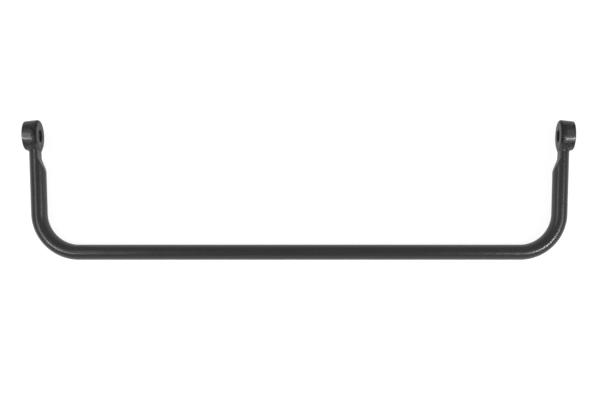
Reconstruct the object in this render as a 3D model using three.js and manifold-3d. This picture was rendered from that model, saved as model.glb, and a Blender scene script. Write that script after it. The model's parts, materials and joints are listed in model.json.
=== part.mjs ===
// Rear sway bar: one round spring-steel rod bent into a U, with a forged eye
// on the end of each arm and a bonded rubber bush pressed into each eye.
//
// Frame: millimetres. +X along the torsion section, +Y from the torsion
// section towards the eyes, +Z up. The part lies on a flat surface at Z = 0,
// resting on the torsion section and on the two eyes. The origin is at the
// middle of the bounding box's bottom face.

import * as THREE from 'three';
import { mergeVertices } from 'three/addons/utils/BufferGeometryUtils.js';
import Module from 'manifold-3d';

const wasm = await Module();
wasm.setup();

// ---------------------------------------------------------------- rod
const BAR_DIAMETER = 25.4;
const ARM_SPACING = 859;         // between the two arm centrelines
const BEND_RADIUS = 63.5;        // of the centreline, 2.5 times the rod
const ARM_LENGTH = 191.3;        // torsion centreline to the eye centre
const HALF_GAP = 0.3;            // between the two halves at mid-span

// ---------------------------------------------------------------- forged eye
const EYE_DIAMETER = 51.8;       // largest, beside the inner face
const EYE_WIDTH = 23.4;          // between the two flat faces round the bore
const EYE_OFFSET = 6.7;          // eye's middle, outwards of the arm centreline
const END_TILT_DEG = 8.5;        // eye and arm flat are turned about the arm, so
                                 // that the inner faces look a little downwards
const EYE_DRAFT_DEG = 7.4;       // the rim narrows towards the outer face
const INNER_STOCK = 0.3;         // taken off the forging to flatten each face
const OUTER_STOCK = 1.2;
const INNER_ROUND = { radial: 5.0, axial: 3.6 };
const OUTER_ROUND = { radial: 6.6, axial: 2.8 };
const EYE_NECK_FILLET = 2.9;     // where the rim runs into the arm
const BORE_DIAMETER = 20.4;
const BORE_CHAMFER = 0.8;

// ---------------------------------------------------------------- arm flat
const FLAT_SETBACK = 3.6;        // inner side of the arm, just below the eye
const FLAT_ROUND = 2.4;          // on the flat's two long edges
const FLAT_END = 155.8;          // distance from the torsion centreline where
const RAMP_END = 130.8;          // the flat stops, and where the rod is full
const RAMP_ROUND_RUN = 12;       // length over which that rounding dies out

// ---------------------------------------------------------------- eye bush
const BUSH_GAP = 0.3;            // left open between two bonded pieces
const SHELL_WALL = 1.2;
const SHELL_LENGTH = 16.4;
const SLEEVE_BORE = 10.2;        // takes an M10 bolt
const SLEEVE_WALL = 1.6;
const SLEEVE_LENGTH = 17;
const RUBBER_LENGTH = 15.2;
const RUBBER_DISH = 1.4;         // hollow of the rubber's end faces

// ---------------------------------------------------------------- fineness
const ROUND_SEGMENTS = 36;
const BEND_STEPS = 12;
const NECK_RINGS = 28;
const EYE_SEGMENTS = 60;
const BORE_SEGMENTS = 40;

const barRadius = BAR_DIAMETER / 2;
const eyeRadius = EYE_DIAMETER / 2;
const armX = ARM_SPACING / 2;
const eyeMidX = armX + EYE_OFFSET;
const endTilt = END_TILT_DEG * Math.PI / 180;
const ARM_STOP = 13;             // the arm ends this far short of the eye's axis,
                                 // inside the rim
const NECK_UNDERLAP = 0.15;      // the neck's fillet starts this far inside the rim

// The bar is drawn in its own plane (x, u, n): u from the torsion centreline
// towards the eyes, n square to the plane. addPiece then tips it to rest.

const { hypot, max, min, sin, cos, tan, atan, PI } = Math;

function smoothUnion(a, b, fillet) {
  const p = max(fillet - a, 0);
  const q = max(fillet - b, 0);
  return max(fillet, min(a, b)) - hypot(p, q);
}

function smoothCut(a, b, round) {
  const p = max(a + round, 0);
  const q = max(b + round, 0);
  return min(-round, max(a, b)) + hypot(p, q);
}

// Half-section of the eye as forged: [radius, distance out from inner face].
function eyeProfile(steps) {
  const points = [[0, -INNER_STOCK]];
  for (let i = 0; i <= steps; i += 1) {
    const a = (i / steps) * PI / 2;
    points.push([
      eyeRadius - INNER_ROUND.radial * (1 - sin(a)),
      -INNER_STOCK + INNER_ROUND.axial * (1 - cos(a)),
    ]);
  }
  // The outer rounding starts where it runs on smoothly from the drafted rim.
  const taper = tan(EYE_DRAFT_DEG * PI / 180);
  const forgedOuter = EYE_WIDTH + OUTER_STOCK;
  const start = atan(taper * OUTER_ROUND.axial / OUTER_ROUND.radial);
  const startAlong = forgedOuter - OUTER_ROUND.axial * (1 - sin(start));
  const startRadius = eyeRadius - (startAlong - INNER_ROUND.axial + INNER_STOCK) * taper;
  for (let i = 0; i <= steps; i += 1) {
    const a = start + (i / steps) * (PI / 2 - start);
    points.push([
      startRadius - OUTER_ROUND.radial * (cos(start) - cos(a)),
      forgedOuter - OUTER_ROUND.axial * (1 - sin(a)),
    ]);
  }
  points.push([0, forgedOuter]);
  return points;
}

// Sides of the eye's convex half-section, each as an outward normal and reach.
const eyeSides = (() => {
  const outline = eyeProfile(10);
  const sides = [];
  for (let i = 0; i + 1 < outline.length; i += 1) {
    const dr = outline[i + 1][0] - outline[i][0];
    const da = outline[i + 1][1] - outline[i][1];
    const length = hypot(dr, da);
    if (length < 1e-6) continue;
    const nr = da / length;
    const na = -dr / length;
    sides.push([nr, na, nr * outline[i][0] + na * outline[i][1]]);
  }
  return sides;
})();

function eyeDistance(x, u, n) {
  const out = x - eyeMidX;
  const along = EYE_WIDTH / 2 + out * cos(endTilt) + n * sin(endTilt);
  const radius = hypot(u - ARM_LENGTH, n * cos(endTilt) - out * sin(endTilt));
  let d = -Infinity;
  for (const [nr, na, reach] of eyeSides) {
    d = max(d, nr * radius + na * along - reach);
  }
  return d;
}

// x of the arm's inner flat at n = 0. It runs out to the full rod by an S-shaped
// ramp.
function flatX(u) {
  const t = min(1, max(0, (FLAT_END - u) / (FLAT_END - RAMP_END)));
  const s = 0.6 * t * t * (3 - 2 * t) + 0.4 * t;
  return armX - FLAT_SETBACK - (barRadius + 0.3 - FLAT_SETBACK) * s;
}

function armDistance(x, u, n) {
  const rod = hypot(x - armX, n) - barRadius;
  const slope = flatX(u + 0.5) - flatX(u - 0.5);
  const flat = ((flatX(u) - x) * cos(endTilt) - n * sin(endTilt)) / hypot(1, slope);
  const fade = min(1, max(0.05, (u - RAMP_END) / RAMP_ROUND_RUN));
  return smoothCut(rod, flat, FLAT_ROUND * fade);
}

function neckDistance(x, u, n) {
  return smoothUnion(
    armDistance(x, u, n),
    eyeDistance(x, u, n) + NECK_UNDERLAP,
    EYE_NECK_FILLET,
  );
}

// Distance from a point inside the neck to its skin, along a direction.
function reachSkin(origin, direction) {
  let near = 0;
  let far = 60;
  for (let i = 0; i < 40; i += 1) {
    const mid = (near + far) / 2;
    const inside = neckDistance(
      origin[0] + direction[0] * mid,
      origin[1] + direction[1] * mid,
      origin[2] + direction[2] * mid,
    ) < 0;
    if (inside) near = mid; else far = mid;
  }
  return (near + far) / 2;
}

// Rings of the right half of the rod, from mid-span to just inside the eye.
function rodRings() {
  const rings = [];
  const bendX = armX - BEND_RADIUS;
  const ringAt = (x, u, across) => {
    const ring = [];
    for (let k = 0; k < ROUND_SEGMENTS; k += 1) {
      const t = (k / ROUND_SEGMENTS) * 2 * PI;
      ring.push([
        x + across[0] * cos(t) * barRadius,
        u + across[1] * cos(t) * barRadius,
        sin(t) * barRadius,
      ]);
    }
    return ring;
  };
  for (const x of [HALF_GAP / 2, bendX * 0.25, bendX * 0.5, bendX * 0.75]) {
    rings.push(ringAt(x, 0, [0, -1]));
  }
  for (let i = 0; i <= BEND_STEPS; i += 1) {
    const a = (i / BEND_STEPS) * PI / 2;
    rings.push(ringAt(
      bendX + BEND_RADIUS * sin(a),
      BEND_RADIUS - BEND_RADIUS * cos(a),
      [sin(a), -cos(a)],
    ));
  }
  // From the ramp on, the skin is found from a spine that eases over from the
  // arm's centreline to the middle of the eye.
  const neckStart = RAMP_END - 1;
  const neckEnd = ARM_LENGTH - ARM_STOP;
  for (let i = 0; i <= NECK_RINGS; i += 1) {
    const u = neckStart + (neckEnd - neckStart) * (i / NECK_RINGS);
    const ease = max(0, min(1, (u - FLAT_END + 8) / 26));
    const x = armX + (eyeMidX - armX) * ease * ease * (3 - 2 * ease);
    const ring = [];
    for (let k = 0; k < ROUND_SEGMENTS; k += 1) {
      const t = (k / ROUND_SEGMENTS) * 2 * PI;
      const s = reachSkin([x, u, 0], [cos(t), 0, sin(t)]);
      ring.push([x + cos(t) * s, u, sin(t) * s]);
    }
    rings.push(ring);
  }
  return rings;
}

function meshOfRings(rings, firstPole, lastPole) {
  const count = ROUND_SEGMENTS;
  const points = rings.flat();
  const corners = [];
  for (let i = 0; i + 1 < rings.length; i += 1) {
    for (let k = 0; k < count; k += 1) {
      const a = i * count + k;
      const b = i * count + ((k + 1) % count);
      corners.push(a, b, b + count, a, b + count, a + count);
    }
  }
  const first = points.length;
  points.push(firstPole);
  const last = points.length;
  points.push(lastPole);
  const end = (rings.length - 1) * count;
  for (let k = 0; k < count; k += 1) {
    corners.push(first, (k + 1) % count, k);
    corners.push(last, end + k, end + ((k + 1) % count));
  }
  const geometry = new THREE.BufferGeometry();
  geometry.setAttribute('position', new THREE.Float32BufferAttribute(points.flat(), 3));
  geometry.setIndex(corners);
  return outward(geometry);
}

function signedVolume(geometry) {
  const p = geometry.getAttribute('position');
  const index = geometry.getIndex();
  const [a, b, c] = [new THREE.Vector3(), new THREE.Vector3(), new THREE.Vector3()];
  let volume = 0;
  for (let i = 0; i < index.count; i += 3) {
    a.fromBufferAttribute(p, index.getX(i));
    b.fromBufferAttribute(p, index.getX(i + 1));
    c.fromBufferAttribute(p, index.getX(i + 2));
    volume += a.dot(b.cross(c)) / 6;
  }
  return volume;
}

function outward(geometry) {
  if (signedVolume(geometry) > 0) return geometry;
  const index = geometry.getIndex();
  for (let i = 0; i < index.count; i += 3) {
    const keep = index.getX(i + 1);
    index.setX(i + 1, index.getX(i + 2));
    index.setX(i + 2, keep);
  }
  return geometry;
}

function solidOf(geometry) {
  let plain = geometry.clone();
  for (const name of Object.keys(plain.attributes)) {
    if (name !== 'position') plain.deleteAttribute(name);
  }
  plain = outward(mergeVertices(plain, 1e-5));
  return new wasm.Manifold(new wasm.Mesh({
    numProp: 3,
    vertProperties: new Float32Array(plain.getAttribute('position').array),
    triVerts: new Uint32Array(plain.getIndex().array),
  }));
}

function geometryOf(solid) {
  const mesh = solid.getMesh();
  const geometry = new THREE.BufferGeometry();
  geometry.setAttribute('position', new THREE.BufferAttribute(mesh.vertProperties, 3));
  geometry.setIndex(new THREE.BufferAttribute(mesh.triVerts, 1));
  return geometry;
}

// Puts a geometry drawn about +X, with the eye's middle at its origin, in place.
function placeInEye(geometry) {
  geometry.rotateY(-endTilt);
  geometry.translate(eyeMidX, ARM_LENGTH, 0);
  return geometry;
}

// A turned piece about the eye's own axis, from [radius, along] points that
// go once round its section. along is counted outwards from the inner face.
function turned(section, segments) {
  const outline = section.map(([r, along]) => new THREE.Vector2(r, along - EYE_WIDTH / 2));
  outline.push(outline[0].clone());
  const geometry = new THREE.LatheGeometry(outline, segments);
  geometry.rotateZ(-PI / 2);                    // lathe axis +Y to +X
  return placeInEye(geometry);
}

function boreCutter() {
  const r = BORE_DIAMETER / 2;
  const c = BORE_CHAMFER;
  return turned([
    [0, -6], [r + c + 6, -6], [r, c], [r, EYE_WIDTH - c],
    [r + c + 6, EYE_WIDTH + 6], [0, EYE_WIDTH + 6],
  ], BORE_SEGMENTS);
}

// What is taken off the forging to leave a flat face on each side of the eye.
function facing(side) {
  const depth = 20;
  const span = EYE_DIAMETER + 6;
  const geometry = new THREE.BoxGeometry(depth, span, span + 20);
  geometry.translate(side * (EYE_WIDTH + depth) / 2, 0, 0);
  return placeInEye(geometry);
}

function barHalf() {
  const rod = meshOfRings(
    rodRings(),
    [HALF_GAP / 2, 0, 0],
    [eyeMidX, ARM_LENGTH - ARM_STOP, 0],
  );
  return solidOf(rod)
    .add(solidOf(turned(eyeProfile(5), EYE_SEGMENTS)))
    .subtract(solidOf(facing(-1)))
    .subtract(solidOf(facing(1)))
    .subtract(solidOf(boreCutter()));
}

function ringSection(inner, outer, length, chamfer) {
  const low = (EYE_WIDTH - length) / 2;
  const high = low + length;
  return [
    [inner + chamfer, low], [outer - chamfer, low], [outer, low + chamfer],
    [outer, high - chamfer], [outer - chamfer, high], [inner + chamfer, high],
    [inner, high - chamfer], [inner, low + chamfer],
  ];
}

function rubberSection(inner, outer) {
  const low = (EYE_WIDTH - RUBBER_LENGTH) / 2;
  const high = low + RUBBER_LENGTH;
  const steps = 4;
  const section = [];
  for (let i = 0; i <= steps; i += 1) {
    const t = i / steps;
    section.push([inner + (outer - inner) * t, low + RUBBER_DISH * sin(PI * t)]);
  }
  for (let i = steps; i >= 0; i -= 1) {
    const t = i / steps;
    section.push([inner + (outer - inner) * t, high - RUBBER_DISH * sin(PI * t)]);
  }
  return section;
}

const shellOuter = BORE_DIAMETER / 2 - BUSH_GAP;
const shellInner = shellOuter - SHELL_WALL;
const sleeveInner = SLEEVE_BORE / 2;
const sleeveOuter = sleeveInner + SLEEVE_WALL;

const BLACK = { color: 0x35353a, roughness: 0.5, metalness: 0.4 };
const RUBBER = { color: 0x1c1b1a, roughness: 0.9, metalness: 0 };
const SHELL_STEEL = { color: 0x4c4a48, roughness: 0.5, metalness: 0.8 };
const SLEEVE_STEEL = { color: 0x5b5854, roughness: 0.42, metalness: 0.9 };

const part = new THREE.Group();
part.name = 'sway_bar';

function addPiece(name, geometry, look, side) {
  const plain = geometry.index ? geometry.clone() : mergeVertices(geometry, 1e-5);
  if (side < 0) plain.scale(-1, 1, 1);
  plain.rotateX(restTilt);
  plain.translate(0, -seat.middleY, -seat.lowestZ);
  outward(plain);
  plain.computeVertexNormals();
  const mesh = new THREE.Mesh(plain, new THREE.MeshStandardMaterial(look));
  mesh.name = name;
  part.add(mesh);
}

const forging = geometryOf(barHalf());
forging.computeBoundingBox();
// The eyes are thicker than the rod, so the arms rise to meet them.
const restTilt = Math.asin((-forging.boundingBox.min.z - barRadius) / ARM_LENGTH);
const seat = (() => {
  const probe = forging.clone();
  probe.rotateX(restTilt);
  probe.computeBoundingBox();
  const { min: low, max: high } = probe.boundingBox;
  return { middleY: (low.y + high.y) / 2, lowestZ: low.z };
})();

const turnedSolid = (section) => geometryOf(solidOf(turned(section, BORE_SEGMENTS)));
const shell = turnedSolid(ringSection(shellInner, shellOuter, SHELL_LENGTH, 0.3));
const rubber = turnedSolid(rubberSection(sleeveOuter + BUSH_GAP, shellInner - BUSH_GAP));
const sleeve = turnedSolid(ringSection(sleeveInner, sleeveOuter, SLEEVE_LENGTH, 0.3));

for (const [side, word] of [[-1, 'left'], [1, 'right']]) {
  addPiece(`bar_${word}_half`, forging, BLACK, side);
  addPiece(`${word}_bush_shell`, shell, SHELL_STEEL, side);
  addPiece(`${word}_bush_rubber`, rubber, RUBBER, side);
  addPiece(`${word}_bush_sleeve`, sleeve, SLEEVE_STEEL, side);
}

export default part;
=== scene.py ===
import json
import math

import bpy
import bmesh
import numpy as np
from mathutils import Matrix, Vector


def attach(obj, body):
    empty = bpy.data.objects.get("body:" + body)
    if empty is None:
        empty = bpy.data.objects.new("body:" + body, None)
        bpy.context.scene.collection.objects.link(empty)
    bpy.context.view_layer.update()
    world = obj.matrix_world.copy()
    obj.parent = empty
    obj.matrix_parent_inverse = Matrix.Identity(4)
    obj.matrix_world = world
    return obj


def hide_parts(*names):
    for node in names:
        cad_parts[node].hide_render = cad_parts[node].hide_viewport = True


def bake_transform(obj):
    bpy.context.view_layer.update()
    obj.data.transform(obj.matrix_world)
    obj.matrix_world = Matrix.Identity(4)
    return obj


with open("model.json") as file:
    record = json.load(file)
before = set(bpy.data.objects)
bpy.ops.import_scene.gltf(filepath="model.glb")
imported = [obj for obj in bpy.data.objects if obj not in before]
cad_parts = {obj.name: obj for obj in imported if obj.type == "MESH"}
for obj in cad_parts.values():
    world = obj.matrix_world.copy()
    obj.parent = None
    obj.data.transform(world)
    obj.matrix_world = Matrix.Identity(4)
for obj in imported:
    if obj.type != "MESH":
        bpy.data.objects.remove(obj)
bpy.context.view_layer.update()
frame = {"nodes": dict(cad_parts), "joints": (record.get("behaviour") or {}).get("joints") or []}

# Sway bar: one smooth forging in place of the two CAD halves, and a bonded
# bush in each eye. Shapes are worked out in millimetres in the bar's own
# plane (x, u, n): u from the torsion centreline to the eyes, n square to it.

MM = 0.001
joints = {j["name"]: j for j in frame["joints"]}
twist_at = np.array(joints["bar_twist"]["pos_m"]) / MM
eye_at = np.array(joints["right_bush_windup"]["pos_m"]) / MM

# ------------------------------------------------------------------ sizes, mm
BAR_RADIUS = 12.7
BEND_RADIUS = 63.5
ARM_LENGTH = math.hypot(eye_at[1] - twist_at[1], eye_at[2] - twist_at[2])
TILT = math.atan2(eye_at[2] - twist_at[2], eye_at[1] - twist_at[1])
EYE_RADIUS = 25.9
EYE_WIDTH = 23.4
EYE_MID_X = eye_at[0]
ARM_X = EYE_MID_X - 6.7
END_TILT = math.radians(8.5)     # of the eye and the arm flat, about the arm
DRAFT = math.radians(7.4)
INNER_STOCK, OUTER_STOCK = 0.3, 1.2
INNER_ROUND = (5.0, 3.6)         # radial, axial
OUTER_ROUND = (6.6, 2.8)
NECK_FILLET = 2.9
EDGE_ROUND = 0.6                 # on the edges of the eye's two faces
BORE_RADIUS = 10.2
BORE_CHAMFER = 0.8
RING_RADIUS = 22.8               # of the smooth ring cut round the bore
RING_WEAR_AND_REFLECTION = 0.27                 # its share of the wear and painted reflection on the arm's flat
FLAT_SETBACK, FLAT_ROUND = 3.6, 2.4
FLAT_END, RAMP_END, RAMP_ROUND_RUN = 155.8, 130.8, 12.0

BEND_X = ARM_X - BEND_RADIUS

# ------------------------------------------------------------------ fineness
ROUND = 168                      # points round the rod and the eye
TORSION_RINGS = 60
BEND_RINGS = 44
ARM_RINGS = 14
NECK_RINGS = 92
CROWN_RINGS = 62
SECTION_SAMPLES = 540


def smooth_min(a, b, r):
    return np.maximum(r, np.minimum(a, b)) - np.hypot(np.maximum(r - a, 0), np.maximum(r - b, 0))


def smooth_max(a, b, r):
    return np.minimum(-r, np.maximum(a, b)) + np.hypot(np.maximum(a + r, 0), np.maximum(b + r, 0))


def eye_sides():
    """The eye's convex half-section: outward normals and reaches of its sides."""
    steps = 26
    line = [(0.0, -INNER_STOCK)]
    for i in range(steps + 1):
        t = i / steps * math.pi / 2
        line.append((EYE_RADIUS - INNER_ROUND[0] * (1 - math.sin(t)),
                     -INNER_STOCK + INNER_ROUND[1] * (1 - math.cos(t))))
    # The outer rounding starts where it runs on smoothly from the drafted rim.
    taper = math.tan(DRAFT)
    outer_a = EYE_WIDTH + OUTER_STOCK
    start = math.atan(taper * OUTER_ROUND[1] / OUTER_ROUND[0])
    start_a = outer_a - OUTER_ROUND[1] * (1 - math.sin(start))
    start_r = EYE_RADIUS - (start_a - INNER_ROUND[1] + INNER_STOCK) * taper
    for i in range(steps + 1):
        t = start + i / steps * (math.pi / 2 - start)
        line.append((start_r - OUTER_ROUND[0] * (math.cos(start) - math.cos(t)),
                     outer_a - OUTER_ROUND[1] * (1 - math.sin(t))))
    line.append((0.0, line[-1][1]))
    sides = []
    for (r0, a0), (r1, a1) in zip(line, line[1:]):
        length = math.hypot(r1 - r0, a1 - a0)
        if length > 1e-6:
            nr, na = (a1 - a0) / length, (r0 - r1) / length
            sides.append((nr, na, nr * r0 + na * a0))
    return sides


EYE_SIDES = eye_sides()


def in_eye(x, u, n):
    """Distance outwards from the eye's inner face, and radius from its axis."""
    out = x - EYE_MID_X
    along = EYE_WIDTH / 2 + out * math.cos(END_TILT) + n * math.sin(END_TILT)
    rise = n * math.cos(END_TILT) - out * math.sin(END_TILT)
    return along, np.hypot(u - ARM_LENGTH, rise)


def from_eye(side, along, u, rise):
    """A point of the bar's plane from one given about the eye's own axis."""
    out = along - EYE_WIDTH / 2
    return (side * (EYE_MID_X + out * math.cos(END_TILT) - rise * math.sin(END_TILT)),
            ARM_LENGTH + u, out * math.sin(END_TILT) + rise * math.cos(END_TILT))


def flat_line(u):
    """x of the arm's inner flat at n = 0; it runs out to the full rod by a ramp."""
    t = np.clip((FLAT_END - u) / (FLAT_END - RAMP_END), 0, 1)
    s = 0.6 * t * t * (3 - 2 * t) + 0.4 * t
    return ARM_X - FLAT_SETBACK - (BAR_RADIUS + 0.3 - FLAT_SETBACK) * s


def flat_gap(x, u, n):
    slope = flat_line(u + 0.5) - flat_line(u - 0.5)
    gap = (flat_line(u) - x) * math.cos(END_TILT) - n * math.sin(END_TILT)
    return gap / np.hypot(1, slope)


def forged(x, u, n):
    """Distance outside the forging before the eye is faced and bored."""
    rod = np.hypot(x - ARM_X, n) - BAR_RADIUS
    fade = np.clip((u - RAMP_END) / RAMP_ROUND_RUN, 0.05, 1)
    arm = np.maximum(smooth_max(rod, flat_gap(x, u, n), FLAT_ROUND * fade), u - ARM_LENGTH)
    along, radius = in_eye(x, u, n)
    eye = np.full(np.shape(x), -1e9)
    for nr, na, reach in EYE_SIDES:
        eye = np.maximum(eye, nr * radius + na * along - reach)
    return smooth_min(arm, eye, NECK_FILLET)


def skin(x, u, n):
    """Distance outside the finished forging, bore apart."""
    along, _ = in_eye(x, u, n)
    inner_face = np.where(u > ARM_LENGTH - EYE_RADIUS - 3, -along, -50.0)
    d = smooth_max(forged(x, u, n), inner_face, EDGE_ROUND)
    return smooth_max(d, along - EYE_WIDTH, EDGE_ROUND)


def cast(origin, direction, reach=46.0):
    """How far the skin is from points inside, along directions."""
    near = np.zeros(len(origin))
    far = np.full(len(origin), reach)
    for _ in range(24):
        mid = (near + far) / 2
        p = origin + direction * mid[:, None]
        inside = skin(p[:, 0], p[:, 1], p[:, 2]) < 0
        near = np.where(inside, mid, near)
        far = np.where(inside, far, mid)
    return (near + far) / 2


def ring_by_shape(origin, first, second, forward=None, lift=0.0):
    """A ring of the skin round origin, its points drawn together at corners."""
    def shot(t):
        d = (np.cos(t)[:, None] * first + np.sin(t)[:, None] * second) * math.cos(lift)
        if forward is not None:
            d = d + forward * math.sin(lift)
        o = np.repeat(origin[None, :], len(t), 0)
        return o + d * cast(o, d)[:, None]

    t = np.linspace(0, 2 * math.pi, SECTION_SAMPLES, endpoint=False)
    p = shot(t)
    step = np.roll(p, -1, 0) - p
    length = np.linalg.norm(step, axis=1)
    way = step / np.maximum(length, 1e-9)[:, None]
    turn = np.linalg.norm(way - np.roll(way, 1, 0), axis=1)
    turn = sum(np.roll(turn, k) * w for k, w in ((-2, 1), (-1, 2), (0, 3), (1, 2), (2, 1))) / 9
    weight = length / length.mean() + 0.9 * np.minimum(turn / turn.mean(), 6)
    for _ in range(6):
        weight = (np.roll(weight, 1) + 2 * weight + np.roll(weight, -1)) / 4
    total = np.concatenate([[0], np.cumsum(weight)])
    goal = np.linspace(0, total[-1], ROUND, endpoint=False)
    return shot(np.interp(goal, total, np.linspace(0, 2 * math.pi, SECTION_SAMPLES + 1)))


def half_rings():
    """Rings of the right half, from mid-span to just under the eye's crown."""
    t = np.linspace(0, 2 * math.pi, ROUND, endpoint=False)
    rings = []

    def rod_ring(x, u, ax, au):
        rings.append(np.stack([x + ax * np.cos(t) * BAR_RADIUS, u + au * np.cos(t) * BAR_RADIUS,
                               np.sin(t) * BAR_RADIUS], 1))

    for i in range(1, TORSION_RINGS):
        rod_ring(BEND_X * i / TORSION_RINGS, 0, 0, -1)
    for i in range(BEND_RINGS + 1):
        a = i / BEND_RINGS * math.pi / 2
        rod_ring(BEND_X + BEND_RADIUS * math.sin(a), BEND_RADIUS * (1 - math.cos(a)),
                 math.sin(a), -math.cos(a))
    neck_start = RAMP_END - 1
    for i in range(1, ARM_RINGS):
        rod_ring(ARM_X, BEND_RADIUS + (neck_start - BEND_RADIUS) * i / ARM_RINGS, 1, 0)
    x_way, n_way, u_way = np.eye(3)[0], np.eye(3)[2], np.eye(3)[1]
    for i in range(NECK_RINGS + 1):
        u = neck_start + (ARM_LENGTH - neck_start) * i / NECK_RINGS
        s = min(1.0, max(0.0, (u - FLAT_END + 8) / 26))
        x = ARM_X + (EYE_MID_X - ARM_X) * s * s * (3 - 2 * s)
        rings.append(ring_by_shape(np.array([x, u, 0.0]), x_way, n_way))
    eye = np.array([EYE_MID_X, ARM_LENGTH, 0.0])
    for i in range(1, CROWN_RINGS):
        rings.append(ring_by_shape(eye, x_way, n_way, u_way, i / CROWN_RINGS * math.pi / 2))
    crown = eye + u_way * cast(eye[None], u_way[None])[0]
    return rings, crown


def to_row(points):
    """Bar's plane to the row frame, in metres."""
    p = np.asarray(points, float)
    c, s = math.cos(TILT), math.sin(TILT)
    y = twist_at[1] + p[:, 1] * c - p[:, 2] * s
    z = twist_at[2] + p[:, 1] * s + p[:, 2] * c
    return np.stack([p[:, 0], y, z], 1) * MM


def to_plane(points):
    """Row frame in metres to the bar's plane."""
    p = np.asarray(points, float) / MM
    c, s = math.cos(TILT), math.sin(TILT)
    y, z = p[:, 1] - twist_at[1], p[:, 2] - twist_at[2]
    return np.stack([p[:, 0], y * c + z * s, -y * s + z * c], 1)


def new_object(name, points, faces):
    mesh = bpy.data.meshes.new(name)
    mesh.from_pydata([tuple(p) for p in points], [], faces)
    mesh.update()
    work = bmesh.new()
    work.from_mesh(mesh)
    bmesh.ops.recalc_face_normals(work, faces=work.faces)
    work.to_mesh(mesh)
    work.free()
    obj = bpy.data.objects.new(name, mesh)
    bpy.context.scene.collection.objects.link(obj)
    return obj


def lathe(name, side, section, segments):
    """A ring about the eye's axis from (radius, distance out of inner face)."""
    points, faces = [], []
    count = len(section)
    for k in range(segments):
        a = 2 * math.pi * k / segments
        for r, along in section:
            points.append(from_eye(side, along, r * math.cos(a), r * math.sin(a)))
    for k in range(segments):
        for i in range(count):
            j = (i + 1) % count
            m = (k + 1) % segments
            faces.append((k * count + i, k * count + j, m * count + j, m * count + i))
    return new_object(name, to_row(points), faces)


def bore_tool(side):
    r, c = BORE_RADIUS, BORE_CHAMFER
    section = [(0.001, -8.0), (r + c + 8, -8.0), (r + c * 1.15, -0.15 * c), (r + c * 0.55, 0.1 * c),
               (r + c * 0.16, 0.5 * c), (r, 1.3 * c)]
    section += [(rr, EYE_WIDTH - a) for rr, a in reversed(section)]
    section = [s for i, s in enumerate(section) if i not in (0, len(section) - 1)]
    points, faces = [], []
    segments, count = 120, len(section)
    for k in range(segments):
        a = 2 * math.pi * (k + 0.37) / segments      # no corner in line with a ring's
        for rr, along in section:
            points.append(from_eye(side, along, rr * math.cos(a), rr * math.sin(a)))
    for k in range(segments):
        m = (k + 1) % segments
        for i in range(count - 1):
            faces.append((k * count + i, k * count + i + 1, m * count + i + 1, m * count + i))
    faces.append([k * count for k in range(segments)])
    faces.append([k * count + count - 1 for k in reversed(range(segments))])
    return new_object("bore_tool", to_row(points), faces)


def build_bar():
    rings, crown = half_rings()
    flip = np.array([-1.0, 1.0, 1.0])
    t = np.linspace(0, 2 * math.pi, ROUND, endpoint=False)
    middle = np.stack([np.zeros(ROUND), -np.cos(t) * BAR_RADIUS, np.sin(t) * BAR_RADIUS], 1)
    chain = [r * flip for r in reversed(rings)] + [middle] + rings
    points = np.concatenate(chain + [(crown * flip)[None], crown[None]])
    faces = []
    for i in range(len(chain) - 1):
        for k in range(ROUND):
            a, b = i * ROUND + k, i * ROUND + (k + 1) % ROUND
            faces.append((a, b, b + ROUND, a + ROUND))
    first, last, end = len(chain) * ROUND, len(chain) * ROUND + 1, (len(chain) - 1) * ROUND
    for k in range(ROUND):
        faces.append((first, (k + 1) % ROUND, k))
        faces.append((last, end + k, end + (k + 1) % ROUND))
    bar = new_object("bar_forging", to_row(points), faces)
    for side in (-1, 1):
        tool = bore_tool(side)
        cut = bar.modifiers.new("bore", "BOOLEAN")
        cut.operation, cut.solver, cut.object = "DIFFERENCE", "EXACT", tool
        bpy.context.view_layer.update()
        depsgraph = bpy.context.evaluated_depsgraph_get()
        mesh = bpy.data.meshes.new_from_object(bar.evaluated_get(depsgraph))
        bar.modifiers.clear()
        bar.data = mesh
        bpy.data.objects.remove(tool)
    bar.data.name = "bar_forging"
    return bar


def set_attribute(mesh, name, kind, values):
    layer = mesh.attributes.new(name, kind, "POINT")
    flat = np.asarray(values, np.float32).ravel()
    layer.data.foreach_set("vector" if kind == "FLOAT_VECTOR" else "value", flat)


def positions(mesh):
    co = np.zeros(len(mesh.vertices) * 3, np.float32)
    mesh.vertices.foreach_get("co", co)
    return co.reshape(-1, 3).astype(float)


def smooth(obj, angle=35):
    for polygon in obj.data.polygons:
        polygon.use_smooth = True
    obj.data.set_sharp_from_angle(angle=math.radians(angle))


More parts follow.
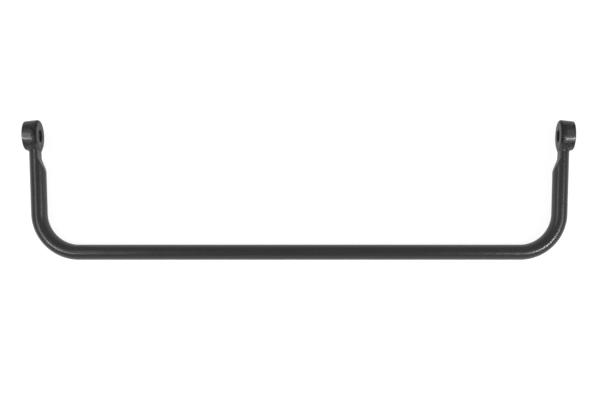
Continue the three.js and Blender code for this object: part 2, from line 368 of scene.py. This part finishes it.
def mark_bar(bar):
    """Where each point was made, along and round the rod, and what was done there."""
    mesh = bar.data
    p = to_plane(positions(mesh))
    x, u, n = np.abs(p[:, 0]), p[:, 1], p[:, 2]
    side = np.sign(p[:, 0] + 1e-9)
    in_bend = (x > BEND_X) & (u < BEND_RADIUS)
    a = np.arctan2(x - BEND_X, BEND_RADIUS - u)
    across = np.where(in_bend, np.hypot(x - BEND_X, u - BEND_RADIUS) - BEND_RADIUS,
                      np.where(x <= BEND_X, -u, x - ARM_X))
    quarter = BEND_RADIUS * math.pi / 2
    along = np.where(in_bend, BEND_X + BEND_RADIUS * a,
                     np.where(x <= BEND_X, x, BEND_X + quarter + u - BEND_RADIUS))
    set_attribute(mesh, "tube", "FLOAT_VECTOR", np.stack([side * along, across, n], 1))
    set_attribute(mesh, "place", "FLOAT_VECTOR", p)
    arm = x > BEND_X + 20
    depth, radius = in_eye(x, u, n)
    in_bore = np.where(arm & (radius < BORE_RADIUS + 0.3), 1.0, 0.0)
    # Rubbed, and painted lighter and warmer as a reflection: a ring round the bore on each face a
    # little, the arm's short flat more.
    ring = np.clip((RING_RADIUS - radius) / 1.5, 0, 1)
    inner = np.clip((1.5 - depth) / 0.8, 0, 1) * ring
    outer = np.clip((depth - EYE_WIDTH + 1.2) / 0.6, 0, 1) * ring
    faced = np.maximum(inner, outer)
    strip = np.clip(1.5 - np.abs(flat_gap(x, u, n)) / 0.9, 0, 1)
    strip = strip * np.clip((u - FLAT_END + 5) / 5, 0, 1)
    strip = strip * np.clip((ARM_LENGTH - 12 - u) / 4, 0, 1) * (x < ARM_X)
    rubbed = np.where(arm, np.maximum(RING_WEAR_AND_REFLECTION * faced, strip), 0)
    lip = np.where(arm, np.exp(-((radius - BORE_RADIUS - 0.9) / 0.8) ** 2), 0)
    # The rim's middle is smooth from trimming; its crown, root and inner side keep scale.
    rim = np.clip((radius - 17) / 5, 0, 1) * np.clip((depth - 6) / 4, 0, 1)
    trimmed = rim * np.clip((BORE_RADIUS + 2 - np.abs(u - ARM_LENGTH + 1)) / 4, 0, 1)
    scaled = np.clip((u - FLAT_END - 6) / 12, 0, 1) * (1 - trimmed) * (1 - rubbed) * (1 - faced)
    set_attribute(mesh, "flat", "FLOAT", rubbed * (1 - in_bore))
    set_attribute(mesh, "bore", "FLOAT", in_bore)
    set_attribute(mesh, "edge", "FLOAT", lip * (1 - in_bore))
    set_attribute(mesh, "eye", "FLOAT", np.where(arm, scaled, 0))
    set_attribute(mesh, "trimmed", "FLOAT", np.where(arm, trimmed, 0))
    dull = np.clip((6 - depth) / 3, 0, 1) * np.clip((EYE_RADIUS + 1.5 - radius) / 2, 0, 1)
    cut = np.clip(1.5 - np.abs(flat_gap(x, u, n)) / 0.9, 0, 1) * (x < ARM_X)
    cut = cut * np.clip((u - RAMP_END - 2) / 6, 0, 1) * np.clip((ARM_LENGTH - 10 - u) / 4, 0, 1)
    set_attribute(mesh, "dull", "FLOAT", np.where(arm, np.maximum(dull, 0.85 * cut), 0))


# ------------------------------------------------------------------ materials
class Shade:
    """A material's node tree, with short ways to add what these ones need."""

    def __init__(self, name):
        self.material = bpy.data.materials.new(name)
        self.material.use_nodes = True
        self.tree = self.material.node_tree
        self.tree.nodes.clear()
        self.out = self.tree.nodes.new("ShaderNodeOutputMaterial")
        self.shader = self.tree.nodes.new("ShaderNodeBsdfPrincipled")
        self.link(self.shader.outputs[0], self.out.inputs["Surface"])

    def link(self, a, b):
        self.tree.links.new(a, b)

    def attribute(self, name, output="Fac"):
        node = self.tree.nodes.new("ShaderNodeAttribute")
        node.attribute_name = name
        return node.outputs[output]

    def stretch(self, vector, scale):
        node = self.tree.nodes.new("ShaderNodeMapping")
        node.inputs["Scale"].default_value = scale
        self.link(vector, node.inputs["Vector"])
        return node.outputs[0]

    def noise(self, vector, scale, detail=4.0, roughness=0.55):
        node = self.tree.nodes.new("ShaderNodeTexNoise")
        node.inputs["Scale"].default_value = scale
        node.inputs["Detail"].default_value = detail
        node.inputs["Roughness"].default_value = roughness
        self.link(vector, node.inputs["Vector"])
        return node.outputs["Fac"]

    def cells(self, vector, scale, feature="F1"):
        node = self.tree.nodes.new("ShaderNodeTexVoronoi")
        node.feature = feature
        node.inputs["Scale"].default_value = scale
        self.link(vector, node.inputs["Vector"])
        return node.outputs["Distance"]

    def ramp(self, value, *stops):
        node = self.tree.nodes.new("ShaderNodeValToRGB")
        elements = node.color_ramp.elements
        while len(elements) < len(stops):
            elements.new(0.5)
        for element, (at, colour) in zip(elements, stops):
            element.position = at
            element.color = (*colour, 1) if isinstance(colour, tuple) else (colour,) * 3 + (1,)
        self.link(value, node.inputs["Fac"])
        return node.outputs["Color"]

    def sums(self, operation, a, b):
        node = self.tree.nodes.new("ShaderNodeMath")
        node.operation = operation
        for socket, value in zip(node.inputs, (a, b)):
            if isinstance(value, (int, float)):
                socket.default_value = value
            else:
                self.link(value, socket)
        return node.outputs[0]

    def mix(self, share, a, b, kind="MIX"):
        node = self.tree.nodes.new("ShaderNodeMix")
        node.data_type = "RGBA"
        node.blend_type = kind
        for socket, value in ((node.inputs[0], share), (node.inputs[6], a), (node.inputs[7], b)):
            if isinstance(value, (int, float)):
                socket.default_value = value
            elif isinstance(value, tuple):
                socket.default_value = (*value, 1)
            else:
                self.link(value, socket)
        return node.outputs[2]

    def bump(self, height, distance, strength=1.0, under=None):
        node = self.tree.nodes.new("ShaderNodeBump")
        node.inputs["Strength"].default_value = strength
        node.inputs["Distance"].default_value = distance
        self.link(height, node.inputs["Height"])
        if under is not None:
            self.link(under, node.inputs["Normal"])
        return node.outputs[0]

    def finish(self, colour, roughness, normal, metallic=0.0, specular=0.5):
        self.link(colour, self.shader.inputs["Base Color"])
        self.link(roughness, self.shader.inputs["Roughness"])
        self.link(normal, self.shader.inputs["Normal"])
        self.shader.inputs["Metallic"].default_value = metallic
        if isinstance(specular, float):
            self.shader.inputs["Specular IOR Level"].default_value = specular
        else:
            self.link(specular, self.shader.inputs["Specular IOR Level"])
        return self.material


def black_steel():
    """Satin black coating over rolled rod and forged eyes, thin on the flats, where a lighter warm
    tone is painted reflection.
    """
    s = Shade("satin_black_forging")
    tube, place = s.attribute("tube", "Vector"), s.attribute("place", "Vector")
    flat, eye, trimmed = s.attribute("flat"), s.attribute("eye"), s.attribute("trimmed")
    edge, bore, dull = s.attribute("edge"), s.attribute("bore"), s.attribute("dull")
    forged = s.sums("MAXIMUM", eye, s.sums("MAXIMUM", trimmed, dull))
    drawn = s.sums("MULTIPLY", s.noise(s.stretch(tube, (0.012, 0.55, 0.55)), 1.0, 5.0, 0.6),
                   s.sums("SUBTRACT", 1.0, forged))
    cloud = s.noise(place, 0.035, 3.0)
    grain = s.noise(place, 1.6, 3.0, 0.6)
    scale = s.noise(place, 0.42, 5.0, 0.68)
    coat = s.mix(cloud, (0.0115, 0.0117, 0.0120), (0.0195, 0.0195, 0.0200))
    coat = s.mix(s.sums("MULTIPLY", s.ramp(drawn, (0.42, 0.0), (0.72, 1.0)), 0.35), coat,
                 (0.030, 0.030, 0.031))
    forged_coat = s.mix(s.ramp(scale, (0.42, 0.0), (0.60, 1.0)), (0.004, 0.004, 0.0045),
                        (0.042, 0.041, 0.041))
    coat = s.mix(s.sums("MULTIPLY", eye, 0.75), coat, forged_coat)
    coat = s.mix(trimmed, coat, (0.046, 0.045, 0.045))
    # the flats' colour: wear, plus a lighter warm tone that is painted reflection
    worn_and_reflection = s.mix(grain, (0.080, 0.073, 0.066), (0.125, 0.115, 0.105))
    colour = s.mix(s.sums("MULTIPLY", flat, 0.85), coat, worn_and_reflection)
    speckle = s.ramp(s.noise(place, 0.9, 4.0, 0.7), (0.46, 0.0), (0.62, 1.0))
    rubbed = s.sums("MULTIPLY", edge, speckle)
    colour = s.mix(s.sums("MULTIPLY", rubbed, 0.4), colour, (0.13, 0.124, 0.118))
    colour = s.mix(s.sums("MULTIPLY", bore, 0.9), colour, (0.042, 0.032, 0.026))
    rough = s.ramp(s.noise(place, 0.12, 4.0, 0.6), (0.3, 0.26), (0.7, 0.32))
    rough = s.mix(flat, rough, (0.5, 0.5, 0.5))
    rough = s.mix(s.sums("MULTIPLY", eye, 0.7), rough, s.ramp(scale, (0.35, 0.34), (0.7, 0.55)))
    rough = s.mix(trimmed, rough, (0.25, 0.25, 0.25))
    pits = s.ramp(s.cells(place, 0.33), (0.05, 0.0), (0.4, 1.0))
    skin_relief = s.bump(s.noise(place, 2.4, 3.0), 0.00003)
    lines = s.bump(drawn, 0.00006, under=skin_relief)
    scabs = s.sums("SUBTRACT", s.mix(0.5, scale, pits), 0.6)
    forge_relief = s.bump(s.sums("MULTIPLY", scabs, eye), 0.0006, under=lines)
    matt = s.sums("MAXIMUM", dull, s.sums("MULTIPLY", eye, s.ramp(scale, (0.42, 0.9), (0.60, 0.1))))
    sheen = s.mix(matt, (0.5, 0.5, 0.5), (0.05, 0.05, 0.05))
    return s.finish(colour, rough, forge_relief, specular=sheen)


def rubber():
    s = Shade("moulded_rubber")
    where = s.tree.nodes.new("ShaderNodeTexCoord").outputs["Object"]
    fine = s.noise(where, 900.0, 4.0, 0.6)
    broad = s.noise(where, 120.0, 3.0)
    colour = s.mix(broad, (0.012, 0.0115, 0.011), (0.026, 0.024, 0.022))
    rough = s.ramp(fine, (0.3, 0.68), (0.7, 0.86))
    return s.finish(colour, rough, s.bump(fine, 0.0001), specular=0.35)


def dull_steel(name, dark, light, rough_low, rough_high, turned):
    """Oxidised steel with the fine rings that turning leaves, or plain grain."""
    s = Shade(name)
    where = s.tree.nodes.new("ShaderNodeTexCoord").outputs["Object"]
    stretch = (5200.0, 140.0, 140.0) if turned else (600.0, 600.0, 600.0)
    lines = s.noise(s.stretch(where, stretch), 1.0, 3.0, 0.6)
    stain = s.noise(where, 260.0, 5.0, 0.65)
    colour = s.mix(s.ramp(stain, (0.35, 0.0), (0.68, 1.0)), dark, light)
    rough = s.ramp(s.mix(0.5, lines, stain), (0.3, rough_low), (0.7, rough_high))
    return s.finish(colour, rough, s.bump(lines, 0.00008), metallic=0.85)


FLOOR_GLOW = 0.86                # a lit table under the part keeps its shadow faint


def stage_white():
    s = Shade("pale_floor")
    where = s.tree.nodes.new("ShaderNodeTexCoord").outputs["Object"]
    mottle = s.noise(where, 3.0, 3.0)
    colour = s.mix(mottle, (0.27, 0.27, 0.27), (0.28, 0.28, 0.28))
    rough = s.ramp(mottle, (0.3, 0.82), (0.7, 0.9))
    s.shader.inputs["Emission Color"].default_value = (1, 1, 1, 1)
    s.shader.inputs["Emission Strength"].default_value = FLOOR_GLOW
    return s.finish(colour, rough, s.bump(mottle, 0.0002, 0.1), specular=0.2)


# ------------------------------------------------------------------ the bar
bar = build_bar()
mark_bar(bar)
smooth(bar)
bar.data.materials.clear()
bar.data.materials.append(black_steel())
bar.data.materials[0].name = "satin_black_forging"
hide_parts("bar_left_half", "bar_right_half")
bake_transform(bar)

# ------------------------------------------------------------------ the bushes
GAP = 0.3
SHELL_OUT = BORE_RADIUS - GAP
SHELL_IN = SHELL_OUT - 1.2
SLEEVE_IN = 5.1
SLEEVE_OUT = 6.7
MID = EYE_WIDTH / 2


def rounded_ring(inner, outer, length, radius, steps=4):
    """Section of a ring with its four corners rounded."""
    low, high = MID - length / 2, MID + length / 2
    section = []
    corners = ((outer - radius, low + radius, -90), (outer - radius, high - radius, 0),
               (inner + radius, high - radius, 90), (inner + radius, low + radius, 180))
    for r, a, start in corners:
        for i in range(steps + 1):
            t = math.radians(start + 90 * i / steps)
            section.append((r + radius * math.cos(t), a + radius * math.sin(t)))
    return section


def rubber_ring():
    """Dished at both ends, with a moulding bead beside the shell."""
    inner, outer = SLEEVE_OUT + GAP, SHELL_IN - GAP
    length, dish, steps = 15.2, 1.4, 12
    one = []
    for i in range(steps + 1):
        t = i / steps
        bead = 0.25 * math.exp(-((t - 0.86) / 0.06) ** 2)
        one.append((inner + (outer - inner) * t, dish * math.sin(math.pi * t) ** 0.8 - bead * 0.6))
    low = [(r, MID - length / 2 + max(d, 0)) for r, d in one]
    high = [(r, MID + length / 2 - max(d, 0)) for r, d in reversed(one)]
    return low + high


rubber_look = rubber()
shell_look = dull_steel("phosphated_shell", (0.035, 0.032, 0.029), (0.075, 0.069, 0.063),
                        0.45, 0.62, False)
sleeve_look = dull_steel("oxidised_sleeve", (0.05, 0.045, 0.041), (0.11, 0.102, 0.094),
                         0.36, 0.52, True)

for side, word in ((-1, "left"), (1, "right")):
    for kind, section, look, slot_name, body in (
        ("shell", rounded_ring(SHELL_IN, SHELL_OUT, 16.4, 0.35), shell_look,
         "bush_shell_steel", f"{word}_half"),
        ("rubber", rubber_ring(), rubber_look, "bush_rubber", f"{word}_half"),
        ("sleeve", rounded_ring(SLEEVE_IN, SLEEVE_OUT, 17.0, 0.3), sleeve_look,
         "sleeve_steel", f"{word}_sleeve"),
    ):
        piece = lathe(f"{word}_{kind}", side, section, 96)
        smooth(piece, 40)
        piece.data.materials.append(look)
        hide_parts(f"{word}_bush_{kind}")
        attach(piece, body)

# CAD nodes stay in the model under their smooth stand-ins; they get the looks too.
node_looks = {"bar": bar.data.materials[0], "rubber": rubber_look, "shell": shell_look,
              "sleeve": sleeve_look}
for name, node in frame["nodes"].items():
    for word, look in node_looks.items():
        if name.startswith(word) or name.endswith(word):
            for material_slot in node.material_slots:
                material_slot.material = look

# ------------------------------------------------------------------ the stage
FLOOR_HALF = 6.0
floor_mesh = bpy.data.meshes.new("floor")
floor_mesh.from_pydata([(-FLOOR_HALF, -FLOOR_HALF, 0), (FLOOR_HALF, -FLOOR_HALF, 0),
                        (FLOOR_HALF, FLOOR_HALF, 0), (-FLOOR_HALF, FLOOR_HALF, 0)], [], [(0, 1, 2, 3)])
floor = bpy.data.objects.new("floor", floor_mesh)
bpy.context.scene.collection.objects.link(floor)
floor.data.materials.append(stage_white())
floor.location.z = -0.0003

world = bpy.data.worlds.new("studio")
bpy.context.scene.world = world
world.use_nodes = True
nodes, links = world.node_tree.nodes, world.node_tree.links
nodes.clear()
sky_out = nodes.new("ShaderNodeOutputWorld")
sky = nodes.new("ShaderNodeBackground")
where = nodes.new("ShaderNodeTexCoord")
split = nodes.new("ShaderNodeSeparateXYZ")
fade = nodes.new("ShaderNodeValToRGB")
links.new(where.outputs["Generated"], split.inputs[0])
links.new(split.outputs["Z"], fade.inputs["Fac"])
links.new(fade.outputs["Color"], sky.inputs["Color"])
links.new(sky.outputs[0], sky_out.inputs[0])
SKY = ((0.0, 1.0), (0.12, 0.82), (0.32, 0.52), (1.0, 0.46))      # sine of height, brightness
for _ in SKY[2:]:
    fade.color_ramp.elements.new(0.5)
for element, (height, brightness) in zip(fade.color_ramp.elements, SKY):
    element.position = height
    element.color = (brightness,) * 3 + (1,)
sky.inputs["Strength"].default_value = 1.0


def softbox(name, at, aim, width, height, power):
    light = bpy.data.lights.new(name, "AREA")
    light.shape = "RECTANGLE"
    light.size, light.size_y = width, height
    light.energy = power
    obj = bpy.data.objects.new(name, light)
    bpy.context.scene.collection.objects.link(obj)
    obj.location = at
    obj.rotation_mode = "QUATERNION"
    obj.rotation_quaternion = (Vector(aim) - Vector(at)).to_track_quat("-Z", "Y")
    return obj


softbox("left_softbox", (-1.22, -0.59, 1.40), (-0.4, -0.59, 0), 0.18, 0.18, 6.7)
softbox("left_strip", (-1.10, 0.06, 1.40), (-0.3, 0.06, 0), 0.70, 0.14, 2.8)
softbox("right_softbox", (1.02, -0.53, 1.09), (0.2, -0.53, 0), 0.20, 0.16, 7.8)
softbox("right_strip", (1.22, -0.22, 1.09), (0.3, -0.22, 0), 0.34, 0.14, 1.3)
softbox("front_softbox", (0, -2.4, 1.1), (0, -0.1, 0), 2.4, 0.6, 4)

# ------------------------------------------------------------------ the camera
# Straight above the bench, as the photograph was taken.
camera = bpy.data.cameras.new("camera")
camera_object = bpy.data.objects.new("camera", camera)
bpy.context.scene.collection.objects.link(camera_object)
CAMERA_RISE = 1.0625
camera.sensor_width = 36
camera.lens = 38.4
camera.shift_x, camera.shift_y = -0.0308, 0.060
camera_object.location = (0.0315, (twist_at[1] + 26.9) * MM, twist_at[2] * MM + CAMERA_RISE)
bpy.context.scene.camera = camera_object
bpy.context.scene.view_settings.view_transform = "Standard"
